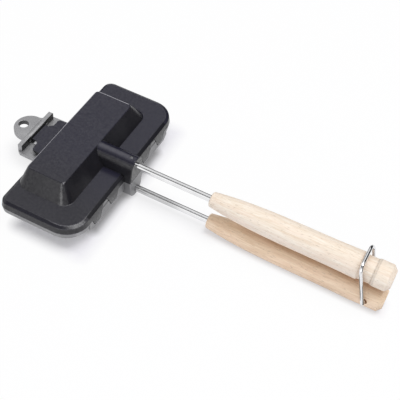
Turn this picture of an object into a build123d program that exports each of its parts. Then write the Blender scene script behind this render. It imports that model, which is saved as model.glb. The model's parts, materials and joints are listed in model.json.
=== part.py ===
"""Pie iron: a long-handled press that toasts one folded slice of bread.

The lower pan lies on its flat stand face. The upper pan hooks onto the lower pan's hinge bar and lifts off it
like a lid. A rod leads from each pan to a wooden handle, and a wire bail holds the two handles together.

Millimetres. +X runs from the hinge to the handle ends, +Y along the pans, +Z up. The origin is the centre of the
lower pan's flat stand face.
"""

import os
from math import asin, cos, degrees, radians, sin
from build123d import *

os.makedirs("parts", exist_ok=True)

# ---------------------------------------------------------------- driving dimensions

# pans, seen from above
pan_length = 155.0  # along Y
pan_depth = 66.5  # along X
grip_corner = 19.0  # outline corner radius on the handle side
hinge_corner = 7.5  # outline corner radius on the hinge side

# rims: the solid border outside the food block, measured from the seam
rim = 6.2
skirt_height = 4.8  # the skirt's reach from the seam
skirt_draft = 0.8  # how far the skirt leans in over its height
slope_height = 5.95  # the sloped shoulder's reach from the seam
shoulder_round = 0.8  # between skirt and slope
plate_inset = 3.3  # the raised flange plate stands this far inside the pan's outline
plate_draft = 0.1

# food blocks: the raised boxes with the cavities inside
block_height = 13.0  # over the flange face
block_foot_length = 117.4  # along Y, at the flange face
block_foot_depth = 45.5  # along X
block_foot_corner = 9.0
block_top_length = 97.4
block_top_depth = 32.0
block_top_corner = 3.0
hinge_margin_foot = 2.5  # from the pan's hinge edge to the block's foot
hinge_margin_top = 6.85  # from the pan's hinge edge to the block's top
wall = 3.0  # casting wall round the cavity
block_round = 1.5  # soft edge round the block's top
block_root = 0.08  # share of the block's height that its walls run on below the flange face

# land: the shallow recess that pinches the bread's edges
land_depth = 2.0
land_border = 3.0  # width of the rim left round the land
crimp_width = 2.0
crimp_height = 1.2
crimp_offset = 4.0  # from the cavity's mouth to the crimp ridge

# toothed skirts on the handle side: hanging teeth on the upper pan, standing teeth on the lower pan
first_tooth = 24.4  # centre of the first hanging tooth from the middle
tooth_pitch = 23.0
hanging_drop = 6.8  # reach below the seam
hanging_root = 13.4  # width at the seam
hanging_tip = 7.0
standing_rise = 3.8  # reach above the seam
standing_tip = 5.0
tooth_round = 1.8
tooth_gap = 0.4
standing_inset = 0.5  # the standing teeth sit this far behind the pan's edge
toothed_wall = 3.0
apron_drop = 9.6  # the lower skirt reaches this far below the seam on the handle side
apron_foot_thickness = 5.5
apron_half_width = 58.0
apron_slant = 4.0

# rods
rod_diameter = 5.5
rod_spacing = 24.6  # between the two axes
boss_socket = 27.0
handle_socket = 58.0
fit_clearance = 0.03  # radial, for rods and pins in their holes
socket_spare = 0.5  # free depth beyond the rod's end

# bosses
boss_reach = 5.5  # end face beyond the pan's edge
boss_radius = 8.0
boss_root = 9.5  # half width at the seam
boss_round = 0.8
pin_diameter = 2.6
pin_inset = 5.0  # from the boss's end face
pin_below = 5.6  # reach beyond the rod's axis
pin_sunk = 0.15  # the pin's end lies this far under the boss's crown
pin_round = 0.5

# hinge: a round bar in the lower pan's bracket, and the upper pan's hook round it
bar_radius = 3.0
bar_reach = 19.5  # axis to the pan's hinge edge
bar_rise = 1.0  # axis above the seam
ridge_front = 2.3  # ridge's faces from the bar's axis
ridge_back = 1.6
ridge_half_width = 21.5
ridge_round = 0.6
bracket_root_half_width = 24.2
bracket_tip_half_width = 23.6
bracket_corner = 2.7
bracket_thickness = 2.4
bracket_drop = 2.5  # bracket's top face under the seam
slot_half_width = 9.5
slot_front = 6.4  # from the bar's axis to the slot's end
slot_back = 1.7
hook_half_width = 8.9
hook_clearance = 0.1
hook_thickness = 2.5
hook_tail_angle = 100.0  # how far the hook wraps under the bar
lug_gap = 0.1  # lug's under face above the seam
lug_thickness = 2.1
lug_root_half_width = 20.0
lug_shoulder_half_width = 19.0
lug_neck_half_width = 11.5
lug_shoulder = 9.4  # from the bar's axis
lug_neck = 6.6  # from the bar's axis
lug_round = 2.2
tongue_thickness = 1.5  # thinner root of the hook, in front of the neck

# hang ear
ear_rise = 2.0  # ear's top face above the bar's axis
ear_thickness = 4.0
ear_radius = 12.7
ear_reach = 5.0  # ear's centre beyond the bar's axis
ear_fillet = 3.2
ear_round = 0.6
ear_hole_diameter = 7.6
ear_hole_reach = 11.0  # hole's centre beyond the bar's axis

# handles
handle_start = 135.0  # from the pan's hinge edge
handle_length = 142.8
nose_radius = 5.8
nose_round = 1.2
neck_radius = 8.3  # at neck_share of the length
neck_share = 0.15
waist_radius = 9.9  # at half the length
swell_radius = 10.6  # in front of the groove
end_radius = 10.3
end_chamfer = 3.4
groove_length = 11.4
groove_radius = 9.6
groove_flank = 1.0
knob_length = 13.4

# bail
bail_wire = 2.8
bail_half_width = 13.2
bail_leg = 37.2  # pivot to crossbar, centre to centre
bail_lean = 15.2  # degrees back from upright at rest
bail_above_axis = 1.0  # pivot above the lower handle's axis
bail_foot = 5.0  # the turned-in ends stop this far from the middle
bail_foot_bend = 1.9
bail_top_bend = 6.5
bail_clearance = 0.1
bail_dish = 1.0  # shallow dish round the pivot hole

# ---------------------------------------------------------------- derived places

seam_z = block_height + rim
hinge_edge_x = -(hinge_margin_top + block_top_depth / 2)
pan_x = hinge_edge_x + pan_depth / 2
grip_edge_x = hinge_edge_x + pan_depth
block_foot_x = hinge_edge_x + hinge_margin_foot + block_foot_depth / 2
boss_end_x = grip_edge_x + boss_reach
rod_height = rod_spacing / 2
upper_rod_z = seam_z + rod_height
lower_rod_z = seam_z - rod_height
crown = rim + block_height
bar_x = hinge_edge_x - bar_reach
bar_z = seam_z + bar_rise
handle_x = hinge_edge_x + handle_start
handle_end_x = handle_x + handle_length
knob_x = handle_end_x - knob_length
rod_start_x = boss_end_x - boss_socket
rod_end_x = handle_x + handle_socket
pin_x = boss_end_x - pin_inset
pivot_x = knob_x
pivot_z = lower_rod_z + bail_above_axis
standing_root = tooth_pitch - hanging_root - 2 * tooth_gap
second_tooth = first_tooth + tooth_pitch
middle_tooth = first_tooth + tooth_pitch / 2
inside_rim_x = hinge_edge_x + land_border - 0.2


# ---------------------------------------------------------------- the two castings


def pan_outline(inset):
    """The pan seen from above, drawn in by inset."""
    with BuildSketch() as outline:
        with Locations((pan_x, 0)):
            Rectangle(pan_depth - 2 * inset, pan_length - 2 * inset)
        fillet(outline.vertices().group_by(Axis.X)[-1], grip_corner - inset)
        fillet(outline.vertices().group_by(Axis.X)[0], hinge_corner - inset)
    return outline.sketch


def block_outline(share, inset):
    """The food block seen from above, drawn in by inset: share 0 is its foot, share 1 its top."""
    depth = block_foot_depth + (block_top_depth - block_foot_depth) * share
    length = block_foot_length + (block_top_length - block_foot_length) * share
    corner = block_foot_corner + (block_top_corner - block_foot_corner) * share
    with BuildSketch() as outline:
        with Locations((block_foot_x * (1 - share), 0)):
            RectangleRounded(depth - 2 * inset, length - 2 * inset, corner)
    return outline.sketch


def crimp_outline():
    """The crimp ridge seen from above: round three sides of the cavity, open towards the hinge."""
    inner_depth = block_foot_depth - 2 * wall + 2 * crimp_offset
    inner_length = block_foot_length - 2 * wall + 2 * crimp_offset
    corner = block_foot_corner + crimp_offset
    with BuildSketch() as outline:
        with Locations((block_foot_x, 0)):
            RectangleRounded(inner_depth + 2 * crimp_width, inner_length + 2 * crimp_width, corner + crimp_width)
            RectangleRounded(inner_depth, inner_length, corner, mode=Mode.SUBTRACT)
        with Locations((inside_rim_x, 0)):
            Rectangle(pan_depth, pan_length, align=(Align.MAX, Align.CENTER), mode=Mode.SUBTRACT)
    return outline.sketch


def boss_section():
    """The boss seen along the rod, seam at the bottom: a round crown on sides that widen to the seam."""
    with BuildSketch() as section:
        with BuildLine():
            CenterArc((0, crown - boss_radius), boss_radius, 0, 360)
            Line((-boss_root, 0), (boss_root, 0))
        make_hull()
    return section.sketch


def tooth_outline(root, tip, reach, rounding):
    """One rounded tooth standing on the seam."""
    with BuildSketch() as outline:
        with BuildLine():
            Polyline((-root / 2, 0), (-tip / 2, reach), (tip / 2, reach), (root / 2, 0), close=True)
        make_face()
        fillet(sorted(outline.vertices(), key=lambda corner: abs(corner.Y))[-2:], rounding)
    return outline.sketch


def apron_outline(start):
    """The apron seen from the handles, from start down to its slanted ends."""
    with BuildSketch() as outline:
        with BuildLine():
            Polyline(
                (-apron_half_width, start),
                (-apron_half_width, rim),
                (-apron_half_width + apron_slant, apron_drop),
                (apron_half_width - apron_slant, apron_drop),
                (apron_half_width, rim),
                (apron_half_width, start),
                close=True,
            )
        make_face()
    return outline.sketch


def casting(has_apron):
    """One half of the iron as cast, seam at Z 0. The apron is a deeper skirt on the handle side."""
    cavity_top = block_height - wall
    with BuildPart() as half:
        # upright skirt with a sloped shoulder
        with BuildSketch(Plane.XY):
            add(pan_outline(0))
        with BuildSketch(Plane.XY.offset(skirt_height)):
            add(pan_outline(skirt_draft))
        loft(ruled=True)
        with BuildSketch(Plane.XY.offset(skirt_height)):
            add(pan_outline(skirt_draft))
        with BuildSketch(Plane.XY.offset(slope_height)):
            add(pan_outline(plate_inset))
        loft(ruled=True)
        fillet(half.edges().filter_by_position(Axis.Z, skirt_height, skirt_height), shoulder_round)
        # raised flange plate
        with BuildSketch(Plane.XY.offset(slope_height)):
            add(pan_outline(plate_inset))
        with BuildSketch(Plane.XY.offset(rim)):
            add(pan_outline(plate_inset + plate_draft))
        loft(ruled=True)
        # food block, its walls carried down into the plate
        with BuildSketch(Plane.XY.offset(rim - block_height * block_root)):
            add(block_outline(-block_root, 0))
        with BuildSketch(Plane.XY.offset(crown)):
            add(block_outline(1, 0))
        loft(ruled=True)
        fillet(half.faces().sort_by(Axis.Z)[-1].edges(), block_round)
        # boss
        with BuildSketch(Plane.YZ.offset(boss_end_x)):
            add(boss_section())
        extrude(amount=-(boss_end_x - block_top_depth / 2))
        boss_end = half.faces().sort_by(Axis.X)[-1]
        fillet(boss_end.edges().sort_by(Axis.Z)[1:], boss_round)
        # apron, with a thicker foot below the rim
        if has_apron:
            with BuildSketch(Plane.YZ.offset(grip_edge_x)):
                add(apron_outline(0))
            extrude(amount=-toothed_wall)
            with BuildSketch(Plane.YZ.offset(grip_edge_x)):
                add(apron_outline(land_depth + wall))
            extrude(amount=-apron_foot_thickness)
        # land and cavity, open at the seam
        with BuildSketch(Plane.XY):
            add(pan_outline(land_border))
        extrude(amount=land_depth, mode=Mode.SUBTRACT)
        with BuildSketch(Plane.XY.offset(land_depth)):
            add(crimp_outline())
        extrude(amount=-crimp_height)
        with BuildSketch(Plane.XY.offset(land_depth)):
            add(block_outline(0, wall))
        extrude(amount=rim - land_depth, mode=Mode.SUBTRACT)
        with BuildSketch(Plane.XY.offset(rim)):
            add(block_outline(0, wall))
        with BuildSketch(Plane.XY.offset(rim + cavity_top)):
            add(block_outline(cavity_top / block_height, wall))
        loft(ruled=True, mode=Mode.SUBTRACT)
        # rod socket
        with BuildSketch(Plane.YZ.offset(boss_end_x)):
            with Locations((0, rod_height)):
                Circle(rod_diameter / 2 + fit_clearance)
        extrude(amount=-(boss_socket + socket_spare), mode=Mode.SUBTRACT)
        # pin hole, from the crown through the socket
        with BuildSketch(Plane.XY.offset(crown)):
            with Locations((pin_x, 0)):
                Circle(pin_diameter / 2 + fit_clearance)
        extrude(amount=-(crown - rod_height + pin_below + socket_spare), mode=Mode.SUBTRACT)
    return half.part


# ---------------------------------------------------------------- upper pan: hanging teeth, notches, lug and hook

hook_inner = bar_radius + hook_clearance
hook_outer = hook_inner + hook_thickness
lug_z = seam_z + lug_gap
tongue_z = lug_z + tongue_thickness
hook_lip_angle = degrees(asin((tongue_z - bar_z) / hook_outer))

with BuildPart() as upper_pan:
    add(casting(False).moved(Location((0, 0, seam_z))))
    # hanging teeth
    with BuildSketch(Plane.YZ.offset(grip_edge_x)):
        with Locations(
            (first_tooth, seam_z), (second_tooth, seam_z), (-first_tooth, seam_z), (-second_tooth, seam_z)
        ):
            add(tooth_outline(hanging_root, hanging_tip, -hanging_drop, tooth_round))
    extrude(amount=-toothed_wall)
    # notches for the lower pan's standing teeth
    with BuildSketch(Plane.YZ.offset(grip_edge_x)):
        with Locations((middle_tooth, seam_z), (-middle_tooth, seam_z)):
            add(
                tooth_outline(
                    standing_root + 2 * tooth_gap, standing_tip + 2 * tooth_gap, standing_rise + tooth_gap, tooth_round
                )
            )
    extrude(amount=-(toothed_wall + tooth_gap), mode=Mode.SUBTRACT)
    # lug behind the pan
    with BuildSketch(Plane.XY.offset(lug_z)) as lug:
        with BuildLine():
            Polyline(
                (inside_rim_x, lug_root_half_width),
                (bar_x + lug_shoulder, lug_shoulder_half_width),
                (bar_x + lug_shoulder, lug_neck_half_width),
                (bar_x + lug_neck, hook_half_width),
                (bar_x + lug_neck, -hook_half_width),
                (bar_x + lug_shoulder, -lug_neck_half_width),
                (bar_x + lug_shoulder, -lug_shoulder_half_width),
                (inside_rim_x, -lug_root_half_width),
                close=True,
            )
        make_face()
        shoulders = lug.vertices().filter_by_position(Axis.X, bar_x + lug_neck + 1, inside_rim_x - 1)
        fillet(shoulders.filter_by(lambda corner: abs(corner.Y) > hook_half_width + lug_round), lug_round)
    extrude(amount=lug_thickness)
    # tongue and hook round the hinge bar
    with BuildSketch(Plane.XY.offset(lug_z)):
        with Locations((bar_x + lug_neck, 0)):
            Rectangle(lug_neck - hook_inner, 2 * hook_half_width, align=(Align.MAX, Align.CENTER))
    extrude(amount=tongue_thickness)
    with BuildSketch(Plane.XZ):
        with BuildLine():
            sweep_angle = hook_tail_angle + hook_lip_angle
            outer = CenterArc((bar_x, bar_z), hook_outer, -hook_tail_angle, sweep_angle)
            inner = CenterArc((bar_x, bar_z), hook_inner, -hook_tail_angle, sweep_angle)
            Line(outer @ 0, inner @ 0)
            Line(outer @ 1, inner @ 1)
        make_face()
    extrude(amount=hook_half_width, both=True)
    with Locations(Plane.XZ):
        with Locations((bar_x, bar_z)):
            Cylinder(hook_inner, 2 * lug_root_half_width, mode=Mode.SUBTRACT)

upper_pan.part.label = "upper_pan"
export_step(upper_pan.part, "parts/upper_pan.step")


# ---------------------------------------------------------------- lower pan: standing teeth, apron, bracket and ear

bracket_top_z = seam_z - bracket_drop
bracket_base_z = bracket_top_z - bracket_thickness
ear_top_z = bar_z + ear_rise

with BuildPart() as lower_pan:
    add(casting(True).mirror(Plane.XY).moved(Location((0, 0, seam_z))))
    # pockets for the upper pan's hanging teeth
    with BuildSketch(Plane.YZ.offset(grip_edge_x)):
        with Locations(
            (first_tooth, seam_z), (second_tooth, seam_z), (-first_tooth, seam_z), (-second_tooth, seam_z)
        ):
            add(
                tooth_outline(
                    hanging_root + 2 * tooth_gap, hanging_tip + 2 * tooth_gap, -hanging_drop - tooth_gap, tooth_round
                )
            )
    extrude(amount=-(toothed_wall + tooth_gap), mode=Mode.SUBTRACT)
    # standing teeth
    with BuildSketch(Plane.YZ.offset(grip_edge_x - standing_inset)):
        with Locations((middle_tooth, seam_z), (-middle_tooth, seam_z)):
            add(tooth_outline(standing_root, standing_tip, standing_rise, tooth_round))
    extrude(amount=-(toothed_wall - standing_inset))
    # hang ear, with hollow corners where it meets the ridge
    with BuildSketch(Plane.XY.offset(ear_top_z)) as ear:
        with Locations((bar_x - ear_reach, 0)):
            Circle(ear_radius)
        with Locations((bar_x - ridge_back, 0)):
            Rectangle(ear_radius, 2 * ear_radius, align=(Align.MIN, Align.CENTER), mode=Mode.SUBTRACT)
            Rectangle(ear_reach - ridge_back, 2 * ear_radius, align=(Align.MAX, Align.CENTER))
            Rectangle(ridge_back, 2 * ridge_half_width, align=(Align.MIN, Align.CENTER))
        corners = ear.vertices().filter_by_position(Axis.Y, -ear_radius - 0.1, ear_radius + 0.1)
        fillet(corners.group_by(Axis.X)[-1], ear_fillet)
        with Locations((bar_x - ear_hole_reach, 0)):
            Circle(ear_hole_diameter / 2, mode=Mode.SUBTRACT)
    extrude(amount=-ear_thickness)
    fillet(lower_pan.faces().filter_by_position(Axis.Z, ear_top_z, ear_top_z).edges(), ear_round)
    # bracket behind the pan
    with BuildSketch(Plane.XY.offset(bracket_base_z)):
        with BuildLine():
            Polyline(
                (inside_rim_x, bracket_root_half_width),
                (bar_x - ridge_back + bracket_corner, bracket_tip_half_width),
                (bar_x - ridge_back, ridge_half_width),
                (bar_x - ridge_back, -ridge_half_width),
                (bar_x - ridge_back + bracket_corner, -bracket_tip_half_width),
                (inside_rim_x, -bracket_root_half_width),
                close=True,
            )
        make_face()
    extrude(amount=bracket_thickness)
    # ridge along the hinge axis
    with BuildSketch(Plane.XY.offset(bracket_base_z)):
        with Locations((bar_x + (ridge_front - ridge_back) / 2, 0)):
            Rectangle(ridge_front + ridge_back, 2 * ridge_half_width)
    extrude(amount=bar_z + bar_radius - bracket_base_z)
    ridge_top_z = bar_z + bar_radius
    fillet(lower_pan.faces().filter_by_position(Axis.Z, ridge_top_z, ridge_top_z).edges(), ridge_round)
    # slot for the hook, and the round bar left across it
    with BuildSketch(Plane.XY.offset(bracket_base_z)):
        with Locations((bar_x - slot_back, 0)):
            Rectangle(slot_back + slot_front, 2 * slot_half_width, align=(Align.MIN, Align.CENTER))
    extrude(amount=bar_z + 2 * bar_radius - bracket_base_z, mode=Mode.SUBTRACT)
    with BuildSketch(Plane.XZ):
        with Locations((bar_x, bar_z)):
            Circle(bar_radius)
    extrude(amount=slot_half_width + wall, both=True)

lower_pan.part.label = "lower_pan"
export_step(lower_pan.part, "parts/lower_pan.step")


# ---------------------------------------------------------------- rods and set pins


def rod(axis_z):
    """A plain steel rod from its boss into its handle, cross drilled for the set pin."""
    with BuildPart() as bar:
        with BuildSketch(Plane.YZ.offset(rod_start_x)):
            with Locations((0, axis_z)):
                Circle(rod_diameter / 2)
        extrude(amount=rod_end_x - rod_start_x)
        chamfer(bar.edges(), socket_spare)
        with BuildSketch(Plane.XY.offset(axis_z)):
            with Locations((pin_x, 0)):
                Circle(pin_diameter / 2 + fit_clearance)
        extrude(amount=rod_diameter, both=True, mode=Mode.SUBTRACT)
    return bar.part


def set_pin(axis_z, side):
    """A short pin pressed through boss and rod from the boss's crown: side is 1 for up, -1 for down."""
    crown_z = seam_z + side * (crown - pin_sunk)
    tip_z = axis_z - side * pin_below
    with BuildPart() as pin:
        with BuildSketch(Plane.XY.offset(crown_z)):
            with Locations((pin_x, 0)):
                Circle(pin_diameter / 2)
        extrude(amount=tip_z - crown_z)
        fillet(pin.edges(), pin_round)
    return pin.part


upper_rod = rod(upper_rod_z)
upper_rod.label = "upper_rod"
export_step(upper_rod, "parts/upper_rod.step")

lower_rod = rod(lower_rod_z)
lower_rod.label = "lower_rod"
export_step(lower_rod, "parts/lower_rod.step")

upper_set_pin = set_pin(upper_rod_z, 1)
upper_set_pin.label = "upper_set_pin"
export_step(upper_set_pin, "parts/upper_set_pin.step")

lower_set_pin = set_pin(lower_rod_z, -1)
lower_set_pin.label = "lower_set_pin"
export_step(lower_set_pin, "parts/lower_set_pin.step")


# ---------------------------------------------------------------- turned handles


def handle_blank(axis_z):
    """A turned handle: a narrow nose, a long swell, and a bored nose for the rod."""
    waist_x = handle_x + handle_length / 2
    neck_x = handle_x + handle_length * neck_share
    with BuildPart() as blank:
        with BuildSketch(Plane.XZ):
            with BuildLine():
                Line((handle_x, axis_z), (handle_x, axis_z + nose_radius))
                Spline(
                    (handle_x, axis_z + nose_radius),
                    (neck_x, axis_z + neck_radius),
                    (waist_x, axis_z + waist_radius),
                    (knob_x - groove_length, axis_z + swell_radius),
                )
                Line((knob_x - groove_length, axis_z + swell_radius), (knob_x, axis_z + end_radius))
                Line((knob_x, axis_z + end_radius), (handle_end_x, axis_z + end_radius))
                Line((handle_end_x, axis_z + end_radius), (handle_end_x, axis_z))
                Line((handle_end_x, axis_z), (handle_x, axis_z))
            make_face()
        revolve(axis=Axis((0, 0, axis_z), (1, 0, 0)))
        chamfer(blank.edges().group_by(Axis.X)[-1], end_chamfer)
        fillet(blank.edges().group_by(Axis.X)[0], nose_round)
        with BuildSketch(Plane.YZ.offset(handle_x)):
            with Locations((0, axis_z)):
                Circle(rod_diameter / 2 + fit_clearance)
        extrude(amount=handle_socket + socket_spare, mode=Mode.SUBTRACT)
    return blank.part


with BuildPart() as upper_handle:
    add(handle_blank(upper_rod_z))
    # bail groove
    with BuildSketch(Plane.XZ):
        with BuildLine():
            Polyline(
                (knob_x - groove_length, upper_rod_z + swell_radius + groove_flank),
                (knob_x - groove_length, upper_rod_z + swell_radius),
                (knob_x - groove_length + groove_flank, upper_rod_z + groove_radius),
                (knob_x - groove_flank, upper_rod_z + groove_radius),
                (knob_x, upper_rod_z + end_radius),
                (knob_x, upper_rod_z + swell_radius + groove_flank),
                close=True,
            )
        make_face()
    revolve(axis=Axis((0, 0, upper_rod_z), (1, 0, 0)), mode=Mode.SUBTRACT)

upper_handle.part.label = "upper_handle"
export_step(upper_handle.part, "parts/upper_handle.step")

with BuildPart() as lower_handle:
    add(handle_blank(lower_rod_z))
    # pivot hole for the bail, with a shallow dish at each mouth
    with BuildSketch(Plane.XZ):
        with Locations((pivot_x, pivot_z)):
            Circle(bail_wire / 2 + bail_clearance)
    extrude(amount=2 * end_radius, both=True, mode=Mode.SUBTRACT)
    with Locations(Plane.XZ):
        with Locations((pivot_x, pivot_z, end_radius), (pivot_x, pivot_z, -end_radius)):
            Sphere(bail_wire / 2 + bail_dish, mode=Mode.SUBTRACT)

lower_handle.part.label = "lower_handle"
export_step(lower_handle.part, "parts/lower_handle.step")


# ---------------------------------------------------------------- bail

lean = radians(bail_lean)
bail_plane = Plane(origin=(pivot_x, 0, pivot_z), x_dir=(0, 1, 0), z_dir=(cos(lean), 0, sin(lean)))

with BuildPart() as bail:
    with BuildLine(bail_plane) as wire:
        FilletPolyline(
            (bail_foot, 0),
            (bail_half_width, 0),
            (bail_half_width, bail_leg),
            (-bail_half_width, bail_leg),
            (-bail_half_width, 0),
            (-bail_foot, 0),
            radius=(bail_foot_bend, bail_top_bend, bail_top_bend, bail_foot_bend),
        )
    with BuildSketch(Plane(origin=wire.line @ 0, z_dir=wire.line % 0)):
        Circle(bail_wire / 2)
    sweep(path=wire.line)

bail.part.label = "bail"
export_step(bail.part, "parts/bail.step")
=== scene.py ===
"""Pie iron: finishes, softened castings, turned handles and a plain studio, as a Blender add-on."""

import json
from math import atan2, cos, degrees, radians, sin, tan
from typing import NamedTuple

import bpy
from mathutils import Matrix, Vector

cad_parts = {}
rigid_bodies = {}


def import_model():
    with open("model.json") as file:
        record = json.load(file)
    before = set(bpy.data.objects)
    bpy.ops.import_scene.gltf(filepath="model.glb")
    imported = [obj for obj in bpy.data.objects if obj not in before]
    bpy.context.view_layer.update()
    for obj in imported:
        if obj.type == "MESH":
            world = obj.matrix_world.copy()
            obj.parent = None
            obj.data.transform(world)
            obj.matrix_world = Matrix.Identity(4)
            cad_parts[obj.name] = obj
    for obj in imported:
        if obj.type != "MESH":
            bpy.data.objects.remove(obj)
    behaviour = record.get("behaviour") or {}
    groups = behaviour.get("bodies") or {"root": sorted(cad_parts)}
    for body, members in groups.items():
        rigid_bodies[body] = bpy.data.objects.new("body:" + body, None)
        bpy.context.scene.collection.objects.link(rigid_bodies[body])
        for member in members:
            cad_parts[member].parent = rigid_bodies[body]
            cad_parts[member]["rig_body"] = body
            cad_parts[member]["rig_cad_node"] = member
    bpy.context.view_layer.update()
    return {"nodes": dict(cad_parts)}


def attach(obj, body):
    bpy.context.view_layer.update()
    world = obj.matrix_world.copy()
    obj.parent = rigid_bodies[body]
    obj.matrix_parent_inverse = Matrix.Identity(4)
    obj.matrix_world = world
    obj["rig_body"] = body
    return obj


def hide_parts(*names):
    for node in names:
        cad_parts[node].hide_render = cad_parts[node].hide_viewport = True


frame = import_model()

bl_info = {
    "name": "Pie iron",
    "version": (1, 0, 0),
    "blender": (4, 5, 0),
    "location": "3D View > Sidebar > Pie iron",
    "description": "Dresses a long-handled pie iron: coated and bare castings, turned handles, "
    "bright rods and bail",
    "category": "Object",
}

MM = 0.001


# ---------------------------------------------------------------- places, in millimetres


class Zone(NamedTuple):
    """A box, and how far outside it its effect has faded out."""

    centre: tuple
    half: tuple
    reach: float


# upper pan
# near end, where the painted sky tint fades out
NEAR_END = Zone((15, -75, 30), (40, 20, 30), 40)
# near corner, where painted highlight arcs run along the block's foot and the plate's edge
NEAR_CORNER = Zone((33, -66, 24), (9, 9, 3), 8)
# shoulder strip along the handle side, given painted shade and a thinner film
SHOULDER = Zone((41.8, 0, 24.6), (1.0, 57, 0.5), 0.9)
# painted highlight lines along the block's top edges and the boss, and a painted highlight spot at
# the block's near corner; the block's edge lines are also drawn as bare metal showing through
BLOCK_FAR_EDGE = Zone((-1, 48.75, 38.1), (14.5, 0.3, 0.6), 0.5)
BLOCK_HINGE_EDGE = Zone((-16.0, 0, 38.1), (0.3, 47.5, 0.6), 0.5)
BLOCK_NEAR_CORNER = Zone((15.5, -48.2, 38.2), (0.2, 0.2, 0.4), 0.5)
BOSS_TOP = Zone((31, -0.8, 39.5), (13, 0.3, 0.6), 2.2)
UPPER_FOOT = 25.4

# lower pan: all but its teeth and ends, which outside it get painted shade; the back of the hinge
# ridge, the slot and the hang hole, each darkened as painted shade
INNER_PAN = Zone((-15, 1.5, 0), (55, 70, 1000), 2.5)
RIDGE_BACK = Zone((-39.9, 0, 20.2), (0.35, 30, 3.2), 0.3)
HINGE_SLOT = Zone((-40.0, 0, 19.2), (5.0, 9.8, 1.6), 0.6)
HANG_HOLE = Zone((-53.35, 0, 20.2), (0, 0, 3), 4.4)
LOWER_FOOT = 13.0

# where the food blocks' feet run, on both pans
FOOT_LOW_X, FOOT_HIGH_X, FOOT_Y = -19.3, 25.2, 58.8

# handles and rods
# inside of the lower handle's cross hole, given painted shade
CROSS_HOLE = Zone((241.55, 0, 7.9), (0, 12, 0), 2.6)
# dark rings painted at the knob as the shade of its fine turned lines
KNOB_SHADE_LINES = tuple(Zone((x, 0, 20), (0.12, 30, 60), 0.8) for x in (240.7, 242.2))
# lower rod's end by the pans, darkened as a painted reflection of the dark casting
ROD_FOOT = Zone((60, 0, 4), (18, 6, 8), 15)

# side of each handle, Y and Z of its pith line, where along the beam it was cut, its painted shade
# lines at the knob's turned steps
HANDLES = (("upper", (-6.0, -52.0), 0.31, KNOB_SHADE_LINES), ("lower", (9.0, -30.0), 0.77, ()))

# floor: the dark middle of the shadow, painted into the floor's colour, and the softer shadows of
# rods, handles and hinge
UNDER_BLOCK = Zone((21, 0, 0), (19.5, 46, 1000), 8)
UNDER_PANS = Zone((17.5, 2, 0), (25.5, 73, 1000), 12)
SOFT_SHADOWS = (
    (Zone((183.5, 0, 0), (71.5, 5, 1000), 6), 0.48),
    (Zone((80, 0, 0), (36, 5, 1000), 12), 0.72),
    (Zone((-42, 1, 0), (10, 14, 1000), 16), 0.7),
    (Zone((-42, 8, 0), (6, 3, 1000), 10), 0.15),
)


# ---------------------------------------------------------------- studio, in metres and degrees

FLOOR_SIZE = 30
FLOOR_GAP = 0.02 * MM

# name, place, target, size and the setting that holds the power
LAMPS = (
    ("overhead", (0.46, 0.10, 1.45), (0.08, 0, 0), (0.8, 0.9), "overhead_power"),
    ("front_fill", (0.22, -1.25, 0.6), (0.12, 0, 0), (0.5, 0.5), "front_power"),
    ("front_low", (-0.22, -1.25, 0.5), (0.08, 0, 0), (0.6, 0.3), "low_power"),
)

# name, first and last heading from +X, and the angle that the wall rises to, seen from the origin
WALLS = (("dark_wall", 96, 150, 30), ("dark_wall_side", -25, 96, 47))
WALL_RADIUS = 1.1
WALL_BELOW = 0.03

# name, place, size and turn about X
CARDS = (
    ("dark_card_above", (-0.15, -0.41, 0.91), (1.4, 0.38), 25),
    ("dark_card_by_bail", (0.268, -0.003, -0.0039), (0.036, 0.042), 0),
    ("dark_card_by_handle", (0.214, -0.0205, -0.0032), (0.036, 0.021), 0),
)


# ---------------------------------------------------------------- settings


def length(name, description, default):
    """A length in metres that the sidebar shows with its unit."""
    return bpy.props.FloatProperty(
        name=name, description=description, default=default, subtype="DISTANCE", unit="LENGTH"
    )


def share(name, description, default):
    """A number from 0 to 1."""
    return bpy.props.FloatProperty(
        name=name, description=description, default=default, min=0, max=1, subtype="FACTOR"
    )


def angle(name, description, default):
    """An angle given in degrees."""
    return bpy.props.FloatProperty(
        name=name, description=description, default=radians(default), subtype="ANGLE"
    )


def strength(name, description, default, unit="NONE"):
    """How strong a light is."""
    return bpy.props.FloatProperty(name=name, description=description, default=default, unit=unit)


def colour(name, description, default):
    """A linear colour."""
    return bpy.props.FloatVectorProperty(
        name=name, description=description, default=default, size=3, min=0, max=1, subtype="COLOR"
    )


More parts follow.
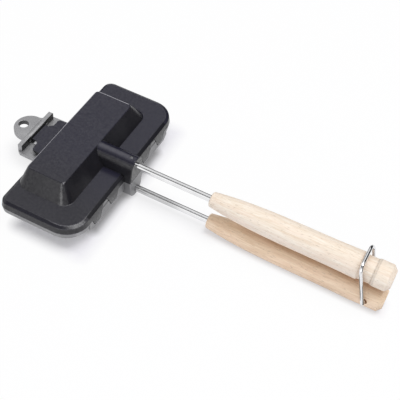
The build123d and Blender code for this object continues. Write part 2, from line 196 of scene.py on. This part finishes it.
class CoatSettings(bpy.types.PropertyGroup):
    """The satin black coat on the upper pan, and the edges of both castings."""

    base: colour("Coat", "Colour of the coat", (0.0085, 0.0082, 0.0115))
    faded: colour("Faded coat", "Colour where the coat is thin", (0.015, 0.0145, 0.0185))
    # painted reflection: a bluish tint put on the faces that look up, standing in for the sky they
    # mirror
    painted_sky_tint: colour("Bloom", "Bluish bloom on the faces that look up", (0.0122, 0.0116, 0.0250))
    # coat colour on rubbed edges, lightened partly as real wear and partly as painted highlight
    # lines
    worn_edge_and_highlight: colour("Worn edge", "Colour where the coat is nearly through", (0.06, 0.06, 0.067))
    # bare colour, also used for painted highlight lines and a painted highlight spot
    bare: colour("Bare edge", "Colour of edges where the metal shows", (0.42, 0.41, 0.45))
    roughness: share("Roughness", "Roughness of the coat", 0.50)
    sheen: share("Sheen", "Mirror strength of the coat's grain", 0.14)
    gloss: share("Gloss", "Strength of the smooth film over the grain", 0.75)
    gloss_roughness: share("Gloss roughness", "Roughness of the smooth film", 0.22)
    grain: length("Grain", "Size of the sprayed grain", 0.5 * MM)
    speck: length("Specks", "Size of the thin specks", 1.1 * MM)
    mottle: length("Mottle", "Size of the film's uneven spots", 1.7 * MM)
    rub: length("Rubbed width", "How far the wear reaches from sharp edges", 0.8 * MM)
    patch: length("Patches", "Size of the gaps in the rubbed edges", 5 * MM)
    # width of the painted highlight arcs at the near corner
    handled: length("Handled width", "How far the wear reaches at the near corner", 1.2 * MM)
    drift: length("Drift", "Size of the slow changes of tone", 22 * MM)
    hollow: length("Hollow", "Width of the gaps that go dark", 4 * MM)
    relief: length("Relief", "Height of the grain", 0.06 * MM)
    edge: length("Edge", "Radius of the castings' soft edges", 0.45 * MM)
    foot: length("Foot", "Radius of the hollow corner round a food block's foot", 1.6 * MM)


class CastSettings(bpy.types.PropertyGroup):
    """The bare cast aluminium of the lower pan."""

    base: colour("Metal", "Colour of the bare metal", (0.44, 0.44, 0.45))
    dull: colour("Dull metal", "Colour of the oxidised hollows", (0.34, 0.34, 0.35))
    bright: colour("Rubbed metal", "Colour of the rubbed edges", (0.46, 0.46, 0.47))
    roughness: share("Roughness", "Roughness of the metal", 0.46)
    grain: length("Grain", "Size of the blasted grain", 0.45 * MM)
    pit: length("Pits", "Size of the casting's pits", 1.6 * MM)
    flow: length("Flow", "Size of the slow changes of tone", 14 * MM)
    rub: length("Rubbed width", "How far the wear reaches from sharp edges", 0.9 * MM)
    hollow: length("Hollow", "Width of the gaps that go dark", 2 * MM)
    relief: length("Relief", "Height of the grain", 0.08 * MM)
    pit_depth: length("Pit depth", "Depth of the pits", 0.1 * MM)


class WoodSettings(bpy.types.PropertyGroup):
    """The beech of the two handles."""

    upper_light: colour("Upper light wood", "Wood between the grain lines", (0.90, 0.82, 0.72))
    upper_dark: colour("Upper dark wood", "Wood in the grain lines", (0.76, 0.62, 0.48))
    lower_light: colour("Lower light wood", "Wood between the grain lines", (0.92, 0.74, 0.56))
    lower_dark: colour("Lower dark wood", "Wood in the grain lines", (0.72, 0.51, 0.33))
    ring: length("Ring", "Spacing of the growth rings", 3.2 * MM)
    fibre: length("Fibres", "Thickness of the fibres", 0.5 * MM)
    fleck: length("Flecks", "Thickness of the dark flecks", 0.55 * MM)
    streak: length("Streaks", "Thickness of the streaks", 1.3 * MM)
    blush: length("Blush", "Size of the pinkish areas", 5 * MM)
    drift: length("Drift", "Size of the slow changes of tone", 26 * MM)
    # width of the gaps given painted brown shade
    hollow: length("Hollow", "Width of the gaps that go brown", 9 * MM)
    relief: length("Relief", "Height of the fibres", 0.05 * MM)
    roughness: share("Roughness", "Roughness of the sealed wood", 0.5)
    edge: length("Edge", "Radius of the sanded edges", 0.5 * MM)


class SteelSettings(bpy.types.PropertyGroup):
    """The plated rods and bail, and the set pins."""

    plating: colour("Plating", "Colour of the bright plating", (0.86, 0.86, 0.87))
    pin: colour("Pin", "Colour of the pins' plain steel", (0.22, 0.22, 0.23))
    plating_roughness: share("Plating roughness", "Roughness of the plating", 0.08)
    pin_roughness: share("Pin roughness", "Roughness of the pins", 0.3)
    draw_line: length("Draw lines", "Thickness of the lengthwise draw lines", 0.3 * MM)
    draw_depth: length("Draw depth", "Depth of the draw lines", 0.01 * MM)
    haze: length("Haze", "Size of the hazy areas", 7 * MM)
    scratch: length("Scratches", "Thickness of the pins' scratches", 0.15 * MM)
    scratch_depth: length("Scratch depth", "Depth of the pins' scratches", 0.02 * MM)


class StageSettings(bpy.types.PropertyGroup):
    """Camera, floor and lights."""

    camera_place: bpy.props.FloatVectorProperty(
        name="Camera",
        description="Where the camera stands",
        default=(0.26065, -0.39843, 0.51828),
        subtype="TRANSLATION",
    )
    camera_heading: angle("Heading", "Camera's heading from +X", 111.56)
    camera_dip: angle("Dip", "How far the camera looks down", 49.03)
    camera_roll: angle("Roll", "Camera's turn about its own line of sight", 7.42)
    lens: bpy.props.FloatProperty(
        name="Lens", description="Focal length in millimetres", default=79.13
    )
    floor: colour("Floor", "Colour of the floor", (0.85, 0.84, 0.89))
    floor_white: share("Floor white", "Share of plain white on the open floor", 0.95)
    shadow_white: share("Shadow white", "Share of plain white right under the pans", 0.18)
    sky_light: strength("Sky light", "Strength of the even light", 0.55)
    sky_seen: strength("Sky seen", "Strength of the even light in mirrors", 0.86)
    overhead_power: strength("Overhead lamp", "Power of the lamp above", 12.5, "POWER")
    front_power: strength("Front lamp", "Power of the lamp in front", 2.7, "POWER")
    low_power: strength("Low lamp", "Power of the low lamp in front", 0.3, "POWER")
    pan_edge: length("Pan edge", "X of the edge that the lower pan rests on", -15.85 * MM)
    handle_rest: length("Handle rest", "X of the lower handle's lowest point", 231.0 * MM)
    handle_drop: length("Handle drop", "Depth of that point below the pan", 3.7 * MM)


SETTINGS = {
    "coat": CoatSettings,
    "cast": CastSettings,
    "wood": WoodSettings,
    "steel": SteelSettings,
    "stage": StageSettings,
}


def settings(group):
    """The scene's settings of that group."""
    return getattr(bpy.context.scene, "pie_iron_" + group)


# ---------------------------------------------------------------- finishes


class Finish:
    """A material's nodes, built up round one shader."""

    def __init__(self, name, roughness, metallic=0.0):
        self.material = bpy.data.materials.new(name)
        self.material.use_nodes = True
        self.tree = self.material.node_tree
        self.shader = self.tree.nodes["Principled BSDF"]
        self.shader.inputs["Roughness"].default_value = roughness
        self.shader.inputs["Metallic"].default_value = metallic
        self.place = self.add("ShaderNodeTexCoord").outputs["Object"]

    def add(self, kind, **values):
        """A node: names in lower case are its own settings, and the others its inputs."""
        node = self.tree.nodes.new(kind)
        for name, value in values.items():
            if name[0].islower():
                setattr(node, name, value)
        for name, value in values.items():
            if not name[0].islower():
                self.feed(node.inputs[name.replace("_", " ")], value)
        return node

    def feed(self, socket, value):
        """Links a socket to another, or sets it to a value."""
        if isinstance(value, bpy.types.NodeSocket):
            self.tree.links.new(value, socket)
        elif socket.type == "RGBA":
            socket.default_value = (*value[:3], 1)
        else:
            socket.default_value = value

    def noise(self, size, detail, roughness, place=None):
        """Noise with features of that size in metres."""
        return self.add(
            "ShaderNodeTexNoise",
            Vector=place or self.place,
            Scale=1 / size,
            Detail=detail,
            Roughness=roughness,
        ).outputs["Fac"]

    def ramp(self, fac, low, high, start=0.0, end=1.0):
        """fac from low..high stretched over start..end."""
        return self.add(
            "ShaderNodeMapRange", Value=fac, From_Min=low, From_Max=high, To_Min=start, To_Max=end
        ).outputs["Result"]

    def mix(self, fac, first, second):
        """The first colour where fac is 0 and the second where it is 1."""
        node = self.add("ShaderNodeMix", data_type="RGBA", Factor=fac)
        colour_a, colour_b = (s for s in node.inputs if s.type == "RGBA")
        self.feed(colour_a, first)
        self.feed(colour_b, second)
        return next(s for s in node.outputs if s.type == "RGBA")

    def math(self, operation, first, second):
        """Two numbers joined by that operation."""
        node = self.add("ShaderNodeMath", operation=operation)
        self.feed(node.inputs[0], first)
        self.feed(node.inputs[1], second)
        return node.outputs[0]

    def times(self, first, second):
        """The product of two numbers."""
        return self.math("MULTIPLY", first, second)

    def vector(self, operation, first, second=None):
        """The node that does that operation on vectors."""
        node = self.add("ShaderNodeVectorMath", operation=operation)
        self.feed(node.inputs[0], first)
        if second is not None:
            self.feed(node.inputs[1], second)
        return node

    def stretch(self, scale, turn=(0, 0, 0), shift=(0, 0, 0)):
        """Object coordinates shifted, turned and scaled."""
        return self.add(
            "ShaderNodeMapping",
            vector_type="POINT",
            Vector=self.place,
            Location=shift,
            Rotation=turn,
            Scale=scale,
        ).outputs["Vector"]

    def edges(self, radius, low, high):
        """1 along sharp edges and 0 on flat faces, from how far the rounded normal turns away."""
        rounded = self.add("ShaderNodeBevel", samples=4, Radius=radius).outputs["Normal"]
        flat = self.add("ShaderNodeNewGeometry").outputs["True Normal"]
        turned = self.vector("DOT_PRODUCT", rounded, flat).outputs["Value"]
        return self.ramp(turned, 1 - low, 1 - high)

    def open_air(self, reach, shade):
        """1 in the open, down to shade deep in hollows and gaps narrower than reach."""
        inside = self.add("ShaderNodeAmbientOcclusion", samples=8, Distance=reach).outputs["AO"]
        return self.ramp(inside, 0.1, 0.85, shade, 1.0)

    def outside(self, zone, least=0.0):
        """least in the zone's box, rising to 1 at its reach."""
        offset = self.vector("SUBTRACT", self.place, [c * MM for c in zone.centre])
        size = self.vector("ABSOLUTE", offset.outputs[0])
        beyond = self.vector("SUBTRACT", size.outputs[0], [h * MM for h in zone.half])
        distance = self.vector("LENGTH", self.vector("MAXIMUM", beyond.outputs[0]).outputs[0])
        return self.ramp(distance.outputs["Value"], 0, zone.reach * MM, least, 1.0)

    def within(self, zone):
        """1 in the zone's box, falling to 0 at its reach."""
        return self.math("SUBTRACT", 1.0, self.outside(zone))

    def upward(self, low, high):
        """0 on the piece's walls, 1 on its faces that look up."""
        facing = self.add("ShaderNodeTexCoord").outputs["Normal"]
        rise = self.add("ShaderNodeSeparateXYZ", Vector=facing).outputs["Z"]
        return self.ramp(rise, low, high)

    def shaded(self, tone, fac):
        """The colour made darker by fac."""
        node = self.add("ShaderNodeVectorMath", operation="SCALE", Vector=tone, Scale=fac)
        return node.outputs["Vector"]

    def bump(self, height, depth, strength, under=None):
        """A normal for that height, on top of the normal under it."""
        node = self.add("ShaderNodeBump", Height=height, Distance=depth, Strength=strength)
        if under is not None:
            self.feed(node.inputs["Normal"], under)
        return node.outputs["Normal"]

    def finish(self, tone, roughness=None, normal=None):
        """The material, with what the shader shows."""
        self.feed(self.shader.inputs["Base Color"], tone)
        for name, value in (("Roughness", roughness), ("Normal", normal)):
            if value is not None:
                self.feed(self.shader.inputs[name], value)
        return self.material


def coat_finish():
    """Satin black sprayed coat: fine grain, slow drifts of sheen, a painted sky tint on top, rubbed
    edges partly painted as highlights, painted highlight lines and painted shade in hollows.
    """
    coat = settings("coat")
    make = Finish("coated casting", coat.roughness)
    grain = make.noise(coat.grain, 3, 0.6)
    drift = make.noise(coat.drift, 3, 0.55)
    specks = make.noise(coat.speck, 1, 0.5)
    patches = make.ramp(make.noise(coat.patch, 3, 0.6), 0.35, 0.65, 0.25, 0.8)

    body = make.mix(make.ramp(drift, 0.35, 0.65), coat.base, coat.faded)
    # painted reflection: the bluish sky tint on faces that look up, faded towards the near end
    painted_sky_tint = make.times(make.upward(0.6, 0.95), make.outside(NEAR_END, 0.35))
    body = make.mix(painted_sky_tint, body, coat.painted_sky_tint)
    body = make.mix(make.ramp(specks, 0.60, 0.75, 0, 0.35), body, coat.faded)
    # rubbed edges: partly real wear, partly painted highlight lines, in hollow corners as well as
    # on ridges
    body = make.mix(make.times(make.edges(coat.rub, 0.03, 0.25), patches), body, coat.worn_edge_and_highlight)
    # painted highlights: lighter lines along the block's top edges and the boss crest, and a spot
    # at the block's near corner, in the bare colour
    for line, wear in (
        (BLOCK_FAR_EDGE, 1.0),
        (BLOCK_HINGE_EDGE, 0.75),
        (BLOCK_NEAR_CORNER, 0.5),
        (BOSS_TOP, 0.13),
    ):
        body = make.mix(make.times(make.within(line), wear), body, coat.bare)
    # painted highlight arcs at the near corner, along the block's foot and the plate's edge
    handled = make.times(make.edges(coat.handled, 0.01, 0.12), make.within(NEAR_CORNER))
    body = make.mix(make.times(handled, 0.3), body, coat.bare)

    rough = make.math(
        "ADD",
        make.ramp(drift, 0.3, 0.7, coat.roughness - 0.05, coat.roughness + 0.05),
        make.ramp(grain, 0.3, 0.7, -0.03, 0.05),
    )
    # painted shade: the coat's colour darkened, and its film thinned, in hollows and on the
    # shoulder strip
    clear = make.times(make.open_air(coat.hollow, 0.15), make.outside(SHOULDER, 0.35))
    mottle = make.noise(coat.mottle, 3, 0.6)
    film = make.ramp(mottle, 0.3, 0.7, 0.6 * coat.gloss, 1.4 * coat.gloss)
    make.shader.inputs["Specular IOR Level"].default_value = coat.sheen
    make.shader.inputs["Coat Roughness"].default_value = coat.gloss_roughness
    make.feed(make.shader.inputs["Coat Weight"], make.times(clear, film))
    return make.finish(make.shaded(body, clear), rough, make.bump(grain, coat.relief, 0.6))


def cast_finish():
    """Bare cast aluminium: blasted grain, pits, rubbed edges, and painted shade in hollows, on the
    teeth and ends, behind the hinge ridge, in the slot and in the hang hole.
    """
    cast = settings("cast")
    make = Finish("bare casting", cast.roughness, 0.7)
    grain = make.noise(cast.grain, 3, 0.65)
    flow = make.noise(cast.flow, 4, 0.6)
    pits = make.noise(cast.pit, 2, 0.5)

    body = make.mix(make.ramp(flow, 0.3, 0.7), cast.dull, cast.base)
    body = make.mix(make.ramp(pits, 0.62, 0.72, 0, 0.4), body, cast.dull)
    body = make.mix(make.times(make.edges(cast.rub, 0.03, 0.25), 0.7), body, cast.bright)
    # painted shade: the metal darkened in hollows, on the teeth and ends, behind the hinge ridge,
    # in the slot and in the hang hole
    for shade in (
        make.open_air(cast.hollow, 0.45),
        make.ramp(make.outside(INNER_PAN), 0, 1, 1.0, 0.68),
        make.outside(RIDGE_BACK, 0.1),
        make.outside(HINGE_SLOT, 0.1),
        make.ramp(make.outside(HANG_HOLE), 0.87, 0.96, 0.25, 1.0),
    ):
        body = make.shaded(body, shade)

    rough = make.ramp(grain, 0.3, 0.7, cast.roughness - 0.06, cast.roughness + 0.08)
    fine = make.bump(grain, cast.relief, 0.7)
    return make.finish(body, rough, make.bump(pits, cast.pit_depth, 0.4, fine))


def wood_finish(name, light, dark, pith, start, step_shade_lines):
    """Turned beech along X: rings about a pith line, fibres, flecks, drifts, and painted shade at
    the knob's turned lines, in the cross hole and between the handles.
    """
    wood = settings("wood")
    make = Finish(name, wood.roughness)
    lean = (0, radians(1.2), radians(0.8))

    def along(squeeze, shift=(0, 0, 0), turn=lean):
        return make.stretch((squeeze, 1, 1), turn, shift)

    rings = make.add(
        "ShaderNodeTexWave",
        wave_type="RINGS",
        rings_direction="X",
        wave_profile="SAW",
        Vector=along(0.10, (start, pith[0] * MM, pith[1] * MM)),
        Scale=0.05 / wood.ring,
        Distortion=2.2,
        Detail=2.5,
        Detail_Scale=0.6,
        Detail_Roughness=0.5,
    ).outputs["Fac"]
    fibres = make.noise(wood.fibre, 3, 0.6, along(0.04, (start, 0, 0)))
    streaks = make.noise(wood.streak, 3, 0.6, along(0.07, (start * 3, 0, 0)))
    flecks = make.noise(wood.fleck, 1, 0.5, along(0.16, (start * 2, 0, 0)))
    flecks = make.ramp(flecks, 0.64, 0.72)
    drift = make.noise(wood.drift, 3, 0.6, along(0.3, (start, 0, 0), (0, 0, 0)))
    blush = make.noise(wood.blush, 3, 0.6, along(0.2, (start * 5, 0, 0)))

    grain = make.math("ADD", make.times(rings, 0.3), make.ramp(fibres, 0.35, 0.65, -0.1, 0.35))
    grain = make.math("ADD", grain, make.ramp(streaks, 0.35, 0.65, -0.2, 0.4))
    grain = make.math("ADD", grain, make.ramp(drift, 0.3, 0.7, -0.1, 0.2))
    pinkish = (light[0], light[1] * 0.9, light[2] * 0.88)
    fleck_tone = [c * 0.6 for c in dark]
    painted_gap_shade = [c * s for c, s in zip(dark, (0.56, 0.38, 0.24))]
    body = make.mix(grain, light, dark)
    body = make.mix(make.ramp(blush, 0.45, 0.65, 0, 0.3), body, pinkish)
    body = make.mix(make.times(flecks, 0.55), body, fleck_tone)
    # painted shade: dark rings at the knob's fine turned lines
    for line in step_shade_lines:
        body = make.shaded(body, make.outside(line, 0.77))
    # painted shade inside the lower handle's cross hole
    body = make.shaded(body, make.ramp(make.outside(CROSS_HOLE), 0.78, 0.95, 0.22, 1.0))
    # painted shade: brown where the handles face each other and in gaps
    body = make.mix(make.open_air(wood.hollow, 0.0), painted_gap_shade, body)

    rough = make.ramp(fibres, 0.3, 0.7, wood.roughness - 0.05, wood.roughness + 0.1)
    height = make.math("SUBTRACT", fibres, make.times(flecks, 0.8))
    return make.finish(body, rough, make.bump(height, wood.relief, 0.5))


def plating_finish():
    """Bright plated steel: faint lengthwise draw lines, slight haze, and a painted reflection of
    the pans darkening the lower rod near them.
    """
    steel = settings("steel")
    make = Finish("bright plating", steel.plating_roughness, 1.0)
    drawn = make.noise(steel.draw_line, 2, 0.5, make.stretch((0.02, 1, 1)))
    haze = make.noise(steel.haze, 3, 0.6)
    hazy = [c * 0.82 for c in steel.plating]
    body = make.mix(make.ramp(haze, 0.3, 0.7, 0, 0.5), steel.plating, hazy)
    # painted reflection: the lower rod darkened near the pans, where it mirrors the dark casting
    body = make.shaded(body, make.outside(ROD_FOOT, 0.68))
    smooth = steel.plating_roughness
    rough = make.ramp(haze, 0.3, 0.7, smooth - 0.03, smooth + 0.05)
    return make.finish(body, rough, make.bump(drawn, steel.draw_depth, 0.5))


def pin_finish():
    """Plain steel pin end with fine scratches."""
    steel = settings("steel")
    make = Finish("pin steel", steel.pin_roughness, 1.0)
    scratches = make.noise(steel.scratch, 3, 0.6, make.stretch((1, 0.15, 1)))
    body = make.mix(make.ramp(scratches, 0.3, 0.7), [c * 0.75 for c in steel.pin], steel.pin)
    smooth = steel.pin_roughness
    rough = make.ramp(scratches, 0.3, 0.7, smooth - 0.08, smooth + 0.12)
    return make.finish(body, rough, make.bump(scratches, steel.scratch_depth, 0.5))


def put_on(piece, material):
    """The piece gets this material alone."""
    piece.data.materials.clear()
    piece.data.materials.append(material)


# ---------------------------------------------------------------- pieces


def deselect():
    """Leaves edit mode and deselects everything."""
    if bpy.context.object and bpy.context.object.mode != "OBJECT":
        bpy.ops.object.mode_set(mode="OBJECT")
    bpy.ops.object.select_all(action="DESELECT")


def merged_copy(node, name):
    """A copy of a node with its loose triangles merged and its flat faces made whole."""
    deselect()
    source = frame["nodes"][node]
    source.select_set(True)
    bpy.context.view_layer.objects.active = source
    bpy.ops.object.duplicate()
    piece = bpy.context.object
    piece.name = name
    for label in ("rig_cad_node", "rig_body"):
        if label in piece:
            del piece[label]
    bpy.ops.mesh.customdata_custom_splitnormals_clear()
    bpy.ops.object.mode_set(mode="EDIT")
    bpy.ops.mesh.select_all(action="SELECT")
    bpy.ops.mesh.remove_doubles(threshold=0.001 * MM)
    bpy.ops.mesh.dissolve_limited(angle_limit=radians(0.3))
    bpy.ops.object.mode_set(mode="OBJECT")
    return piece


def round_foot(piece, level, radius):
    """Rounds the hollow corner where the food block rises from its flange, at that level in mm."""

    def on_foot(point):
        x, y, z = point / MM
        return abs(z - level) < 0.01 and FOOT_LOW_X < x < FOOT_HIGH_X and abs(y) < FOOT_Y

    bpy.ops.object.mode_set(mode="EDIT")
    bpy.ops.mesh.select_mode(type="EDGE")
    bpy.ops.mesh.select_all(action="DESELECT")
    bpy.ops.object.mode_set(mode="OBJECT")
    corners = piece.data.vertices
    for edge in piece.data.edges:
        edge.select = all(on_foot(corners[i].co) for i in edge.vertices)
    bpy.ops.object.mode_set(mode="EDIT")
    bpy.ops.mesh.bevel(
        offset=radius, offset_type="OFFSET", segments=4, profile=0.5, clamp_overlap=True
    )
    bpy.ops.object.mode_set(mode="OBJECT")


def soften(piece, width, segments):
    """Rounds the piece's sharp edges and smooths what is meant to be smooth."""
    bevel = piece.modifiers.new("soft edges", "BEVEL")
    bevel.width = width
    bevel.segments = segments
    bevel.limit_method = "ANGLE"
    bevel.angle_limit = radians(28)
    bevel.use_clamp_overlap = True
    bevel.miter_outer = "MITER_SHARP"
    bpy.ops.object.modifier_apply(modifier=bevel.name)
    bpy.ops.object.shade_smooth_by_angle(angle=radians(35))
    even = piece.modifiers.new("flat faces stay flat", "WEIGHTED_NORMAL")
    even.keep_sharp = True
    bpy.ops.object.modifier_apply(modifier=even.name)


def settle(piece, node, material):
    """The piece takes the node's place, body and slot."""
    put_on(piece, material)
    piece.parent = None
    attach(piece, frame["nodes"][node]["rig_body"])
    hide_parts(node)


def casting(node, foot_level, material):
    """A pan's copy with its block's foot rounded and its edges softened."""
    coat = settings("coat")
    piece = merged_copy(node, node + "_casting")
    round_foot(piece, foot_level, coat.foot)
    soften(piece, coat.edge, 2)
    settle(piece, node, material)


class PIEIRON_OT_upper_pan(bpy.types.Operator):
    """Makes the upper pan: the coated casting with softened edges"""

    bl_idname = "pie_iron.upper_pan"
    bl_label = "Upper pan"

    def execute(self, context):
        casting("upper_pan", UPPER_FOOT, coat_finish())
        return {"FINISHED"}


class PIEIRON_OT_lower_pan(bpy.types.Operator):
    """Makes the lower pan: the bare casting with its hinge bracket and hang ear, edges softened"""

    bl_idname = "pie_iron.lower_pan"
    bl_label = "Lower pan"

    def execute(self, context):
        casting("lower_pan", LOWER_FOOT, cast_finish())
        return {"FINISHED"}


class PIEIRON_OT_handles(bpy.types.Operator):
    """Makes the two turned beech handles, their edges sanded soft"""

    bl_idname = "pie_iron.handles"
    bl_label = "Handles"

    def execute(self, context):
        wood = settings("wood")
        for side, pith, start, lines in HANDLES:
            node = side + "_handle"
            piece = merged_copy(node, node + "_turned")
            soften(piece, wood.edge, 3)
            light, dark = getattr(wood, side + "_light"), getattr(wood, side + "_dark")
            material = wood_finish(side + " wood", light, dark, pith, start, lines)
            settle(piece, node, material)
        return {"FINISHED"}


class PIEIRON_OT_steel(bpy.types.Operator):
    """Finishes the rods, the set pins and the bail"""

    bl_idname = "pie_iron.steel"
    bl_label = "Rods, pins and bail"

    def execute(self, context):
        plating = plating_finish()
        for node in ("upper_rod", "lower_rod", "bail"):
            put_on(frame["nodes"][node], plating)
        pins = pin_finish()
        for node in ("upper_set_pin", "lower_set_pin"):
            put_on(frame["nodes"][node], pins)
        return {"FINISHED"}


# ---------------------------------------------------------------- stage


def camera_turn(heading, dip, roll):
    """Rotation of a camera that looks along heading, down by dip, turned by roll."""
    ahead = Vector((cos(dip) * cos(heading), cos(dip) * sin(heading), -sin(dip)))
    level = ahead.cross(Vector((0, 0, 1))).normalized()
    up = level.cross(ahead)
    right = level * cos(roll) + up * sin(roll)
    top = up * cos(roll) - level * sin(roll)
    return Matrix((right, top, -ahead)).transposed()


def seen_rays(tree):
    """1 for camera, glossy and transmission rays, 0 for the light that falls on the object."""
    rays = tree.nodes.new("ShaderNodeLightPath")
    seen = rays.outputs["Is Camera Ray"]
    for kind in ("Is Glossy Ray", "Is Transmission Ray"):
        either = tree.nodes.new("ShaderNodeMath")
        either.operation = "MAXIMUM"
        tree.links.new(seen, either.inputs[0])
        tree.links.new(rays.outputs[kind], either.inputs[1])
        seen = either.outputs[0]
    return seen


def add_lamp(name, place, target, size, power):
    """A soft rectangular lamp that faces target."""
    light = bpy.data.lights.new(name, "AREA")
    light.shape = "RECTANGLE"
    light.size, light.size_y = size
    light.energy = power
    holder = bpy.data.objects.new(name, light)
    holder.location = place
    facing = Vector(target) - Vector(place)
    holder.rotation_euler = facing.to_track_quat("-Z", "Y").to_euler()
    bpy.context.scene.collection.objects.link(holder)


def add_camera(stage):
    """The camera, as the settings place it."""
    scene = bpy.context.scene
    lens = bpy.data.cameras.new("camera")
    lens.lens = stage.lens
    lens.sensor_width = 36
    lens.clip_start = 0.01
    camera = bpy.data.objects.new("camera", lens)
    turn = camera_turn(stage.camera_heading, stage.camera_dip, stage.camera_roll)
    camera.location = stage.camera_place
    camera.rotation_euler = turn.to_euler()
    scene.collection.objects.link(camera)
    scene.camera = camera


def add_sky(stage):
    """Even light all round, plain white where it is seen or mirrored."""
    world = bpy.data.worlds.new("sky")
    world.use_nodes = True
    bpy.context.scene.world = world
    tree = world.node_tree
    sky = tree.nodes["Background"]
    sky.inputs["Color"].default_value = (1, 1, 1, 1)
    level = tree.nodes.new("ShaderNodeMapRange")
    level.inputs["To Min"].default_value = stage.sky_light
    level.inputs["To Max"].default_value = stage.sky_seen
    tree.links.new(seen_rays(tree), level.inputs["Value"])
    tree.links.new(level.outputs["Result"], sky.inputs["Strength"])


def add_floor(stage):
    """A wide floor through the lower pan's resting edge and the lower handle's lowest point."""
    deselect()
    bpy.ops.mesh.primitive_plane_add(size=FLOOR_SIZE)
    floor = bpy.context.object
    floor.name = "floor"
    slope = -stage.handle_drop / (stage.handle_rest - stage.pan_edge)
    for corner in floor.data.vertices:
        corner.co.z = slope * (corner.co.x - stage.pan_edge) - FLOOR_GAP
    put_on(floor, floor_finish(stage))


def floor_finish(stage):
    """Pale floor that shows plain white where it is open, and keeps the shadows, with a painted
    shadow darkening its colour under the pans' handle side.
    """
    make = Finish("floor", 0.6)
    make.shader.inputs["Specular IOR Level"].default_value = 0.2
    drift = make.ramp(make.noise(0.4, 2, 0.5), 0.3, 0.7)
    tone = make.mix(drift, stage.floor, [c * 0.985 for c in stage.floor])
    # painted shadow: the floor's own colour darkened under the pans' handle side
    material = make.finish(make.shaded(tone, make.outside(UNDER_BLOCK, 0.3)))

    open_floor = stage.floor_white
    for zone, least in ((UNDER_PANS, stage.shadow_white), *SOFT_SHADOWS):
        there = make.ramp(make.outside(zone), 0, 1, least, stage.floor_white)
        open_floor = make.math("MINIMUM", there, open_floor)
    white = make.add("ShaderNodeEmission", Color=(1, 1, 1), Strength=1.0)
    shown = make.add("ShaderNodeMixShader")
    make.feed(shown.inputs[0], make.times(seen_rays(make.tree), open_floor))
    make.feed(shown.inputs[1], make.shader.outputs[0])
    make.feed(shown.inputs[2], white.outputs[0])
    make.feed(make.tree.nodes["Material Output"].inputs["Surface"], shown.outputs[0])
    return material


def add_wall(name, start, end, rise):
    """A curved dark wall from heading start to end, as high as the angle rise."""
    height = WALL_RADIUS * tan(radians(rise)) + WALL_BELOW
    deselect()
    bpy.ops.mesh.primitive_circle_add(vertices=180, radius=WALL_RADIUS)
    wall = bpy.context.object
    bpy.ops.object.mode_set(mode="EDIT")
    bpy.ops.mesh.select_all(action="SELECT")
    bpy.ops.mesh.extrude_edges_move(TRANSFORM_OT_translate={"value": (0, 0, height)})
    bpy.ops.mesh.select_all(action="DESELECT")
    bpy.ops.mesh.select_mode(type="FACE")
    bpy.ops.object.mode_set(mode="OBJECT")
    for face in wall.data.polygons:
        heading = degrees(atan2(face.center.y, face.center.x))
        face.select = not start < heading < end
    bpy.ops.object.mode_set(mode="EDIT")
    bpy.ops.mesh.delete(type="FACE")
    bpy.ops.mesh.select_all(action="SELECT")
    bpy.ops.transform.translate(value=(0, 0, -WALL_BELOW))
    bpy.ops.object.mode_set(mode="OBJECT")
    hide(wall, name)


def add_card(name, place, size, turn):
    """A flat dark card of that size, turned about X."""
    deselect()
    bpy.ops.mesh.primitive_plane_add(size=1, location=place, rotation=(radians(turn), 0, 0))
    card = bpy.context.object
    card.scale = (*size, 1)
    hide(card, name)


def hide(card, name):
    """Makes the card dark and leaves it to mirrors alone."""
    card.name = name
    make = Finish("dark card", 0.9)
    make.shader.inputs["Specular IOR Level"].default_value = 0.0
    put_on(card, make.finish((0.03, 0.03, 0.03)))
    card.visible_camera = False
    card.visible_diffuse = False
    card.visible_shadow = False


class PIEIRON_OT_stage(bpy.types.Operator):
    """Sets up the floor, the sky, the lamps, the dark cards and the camera"""

    bl_idname = "pie_iron.stage"
    bl_label = "Stage"

    def execute(self, context):
        stage = settings("stage")
        context.scene.view_settings.view_transform = "Standard"
        add_floor(stage)
        add_sky(stage)
        for name, place, target, size, power in LAMPS:
            add_lamp(name, place, target, size, getattr(stage, power))
        for wall in WALLS:
            add_wall(*wall)
        for card in CARDS:
            add_card(*card)
        add_camera(stage)
        return {"FINISHED"}


# ---------------------------------------------------------------- panel and registration

STEPS = (
    PIEIRON_OT_upper_pan,
    PIEIRON_OT_lower_pan,
    PIEIRON_OT_handles,
    PIEIRON_OT_steel,
    PIEIRON_OT_stage,
)


class PIEIRON_PT_sidebar(bpy.types.Panel):
    """Lists the pieces and their settings"""

    bl_idname = "PIEIRON_PT_sidebar"
    bl_label = "Pie iron"
    bl_space_type = "VIEW_3D"
    bl_region_type = "UI"
    bl_category = "Pie iron"

    def draw(self, context):
        for step in STEPS:
            self.layout.operator(step.bl_idname)
        for group, kind in SETTINGS.items():
            box = self.layout.box()
            box.label(text=group.capitalize())
            for name in kind.__annotations__:
                box.prop(settings(group), name)


CLASSES = (*SETTINGS.values(), *STEPS, PIEIRON_PT_sidebar)


def register():
    for kind in CLASSES:
        bpy.utils.register_class(kind)
    for group, kind in SETTINGS.items():
        setattr(bpy.types.Scene, "pie_iron_" + group, bpy.props.PointerProperty(type=kind))


def unregister():
    for group in SETTINGS:
        delattr(bpy.types.Scene, "pie_iron_" + group)
    for kind in reversed(CLASSES):
        bpy.utils.unregister_class(kind)


def main():
    register()
    bpy.ops.pie_iron.upper_pan()
    bpy.ops.pie_iron.lower_pan()
    bpy.ops.pie_iron.handles()
    bpy.ops.pie_iron.steel()
    bpy.ops.pie_iron.stage()


if __name__ == "__main__":
    main()
